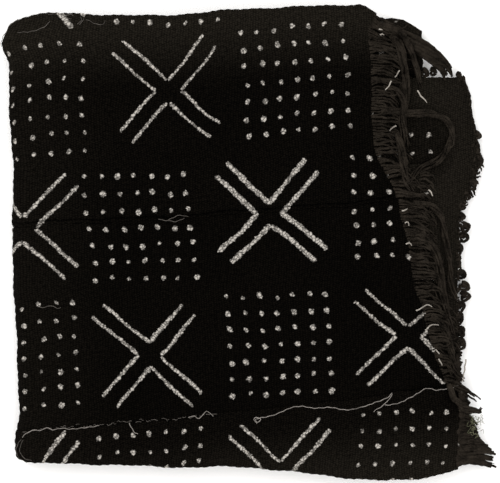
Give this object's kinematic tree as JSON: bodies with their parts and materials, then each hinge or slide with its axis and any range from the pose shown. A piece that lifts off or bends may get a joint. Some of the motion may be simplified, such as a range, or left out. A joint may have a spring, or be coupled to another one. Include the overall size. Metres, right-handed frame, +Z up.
{
  "type": "folded bogolan mud cloth",
  "caption": "Folded handwoven cotton mud cloth, dyed black with cream marks, lying flat with folds on three sides and knotted yarn fringe at its open side.",
  "frame": {"origin": "under the middle of the folded cloth, on the surface it lies on", "axes": "+Z up out of the surface, +X along the strips towards the fringes, +Y across the strips towards the upper fold"},
  "size_m": [0.3736, 0.3621, 0.0297],
  "materials": {
    "dyed_cotton": "matt handwoven cotton, dyed warm black, with cream marks of dots and crosses",
    "fringe_yarn": "matt handspun cotton yarn, dyed brown-black, in loose and twisted strands"
  },
  "bodies": {
    "root": {"strip_1": "dyed_cotton", "strip_2": "dyed_cotton", "strip_3": "dyed_cotton", "strip_4": "dyed_cotton", "strip_5": "dyed_cotton", "strip_6": "dyed_cotton", "fringe_1a": "fringe_yarn", "fringe_1b": "fringe_yarn", "fringe_2a": "fringe_yarn", "fringe_2b": "fringe_yarn", "fringe_3a": "fringe_yarn", "fringe_3b": "fringe_yarn", "fringe_4a": "fringe_yarn", "fringe_4b": "fringe_yarn", "fringe_5a": "fringe_yarn", "fringe_5b": "fringe_yarn", "fringe_6a": "fringe_yarn", "fringe_6b": "fringe_yarn"}
  },
  "joints": []
}
